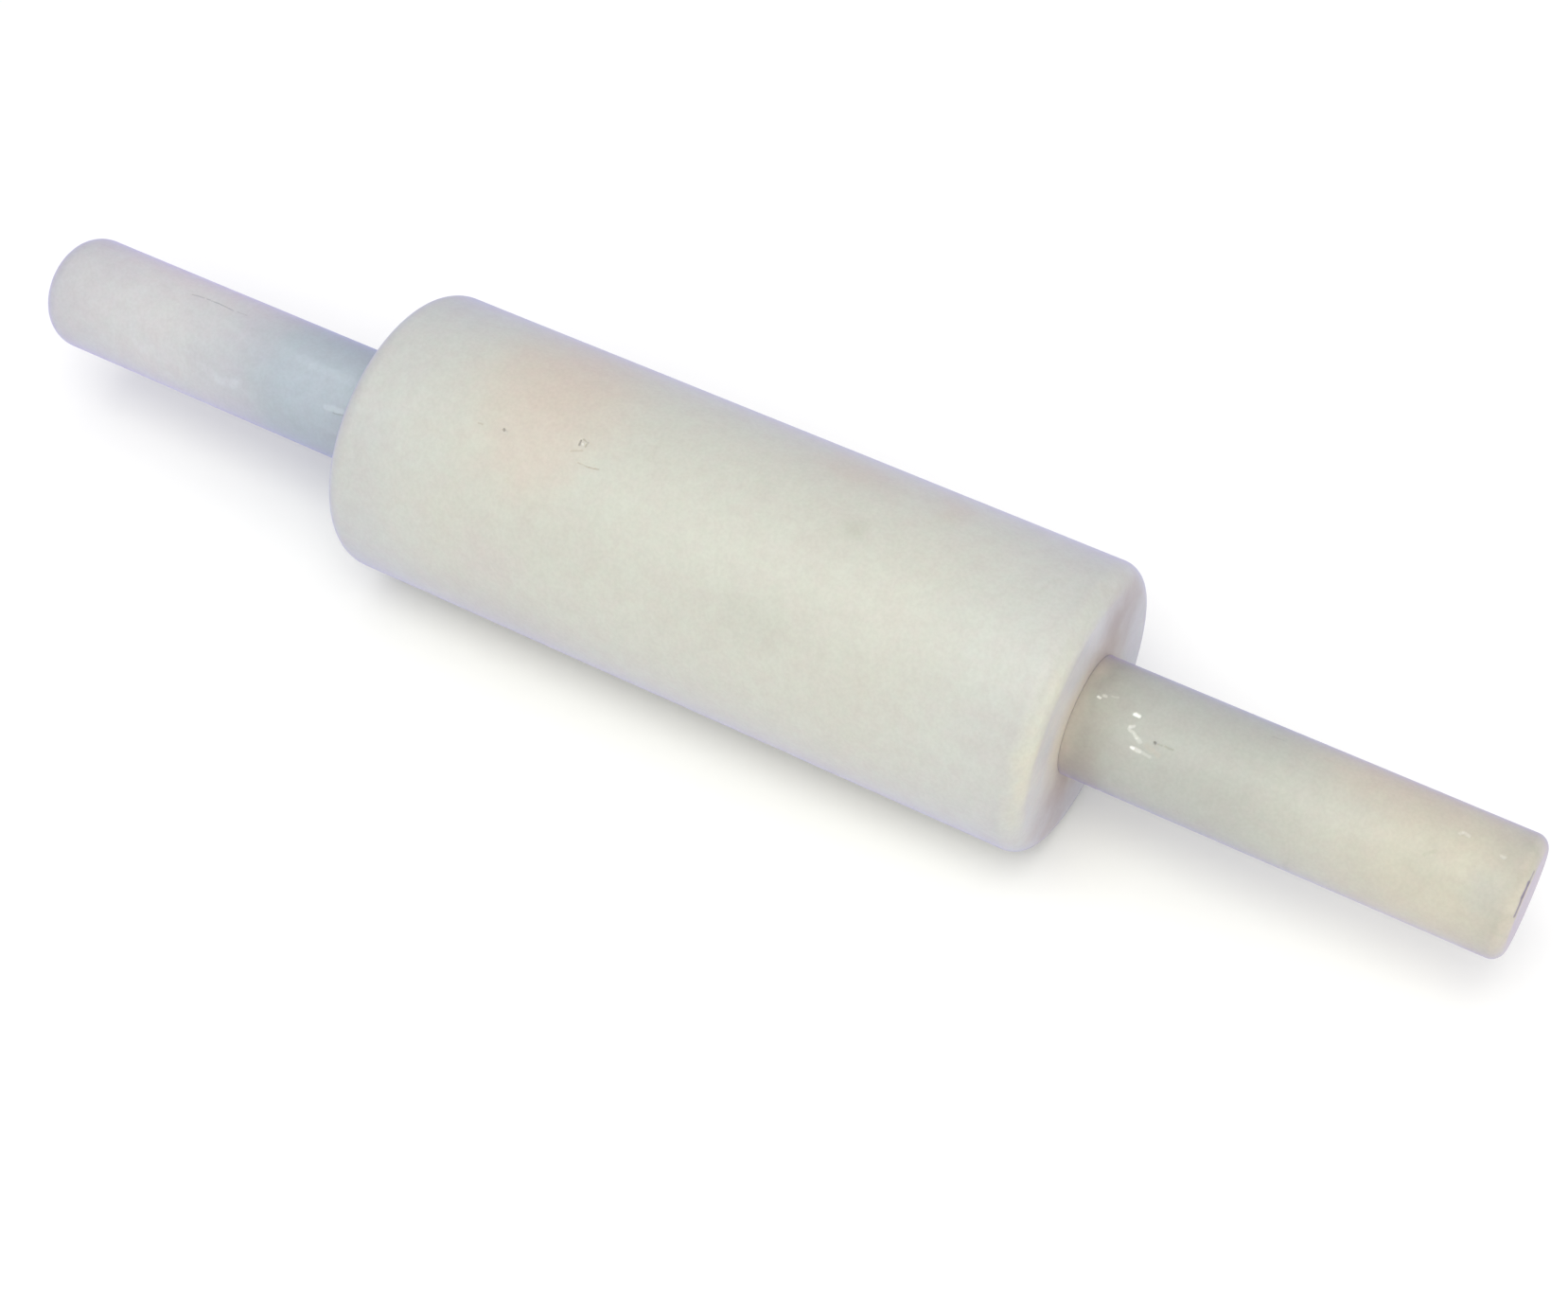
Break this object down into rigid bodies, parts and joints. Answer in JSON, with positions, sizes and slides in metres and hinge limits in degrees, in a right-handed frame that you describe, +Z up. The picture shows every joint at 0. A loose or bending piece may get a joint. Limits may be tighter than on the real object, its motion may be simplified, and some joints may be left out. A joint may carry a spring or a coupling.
{
  "type": "marble rolling pin",
  "caption": "Rolling pin with a heavy marble barrel that turns freely on a steel axle between slim straight marble handles.",
  "frame": {"origin": "centre of the barrel on the axle's axis, which is also the centre of the whole pin's box", "axes": "+X along the axle towards the right handle, +Z up when the pin lies on its barrel, +Y away from the person who holds it"},
  "size_m": [0.3054, 0.055, 0.055],
  "materials": {
    "barrel_marble": "honed, soft satin sheen, creamy green-white with faint tan and grey-green clouds",
    "left_handle_marble": "fine honed, smooth satin sheen, off-white at the outer part and blue-grey towards the barrel",
    "right_handle_marble": "fine honed, smooth satin sheen, grey-green near the barrel and warm tan at the outer part",
    "steel": "turned stainless steel",
    "nylon": "natural white nylon, matte",
    "brass": "turned brass"
  },
  "bodies": {
    "handles": {"axle": "steel", "left_thrust_washer": "steel", "right_thrust_washer": "steel", "left_lock_nut": "steel", "right_lock_nut": "steel", "left_handle": "left_handle_marble", "right_handle": "right_handle_marble", "left_handle_insert": "brass", "right_handle_insert": "brass"},
    "barrel": {"barrel": "barrel_marble", "left_bush": "nylon", "right_bush": "nylon"}
  },
  "joints": [
    {"name": "barrel_spin", "type": "hinge", "parent": "handles", "child": "barrel", "pos_m": [0, 0, 0], "axis": [1, 0, 0], "continuous": true}
  ]
}
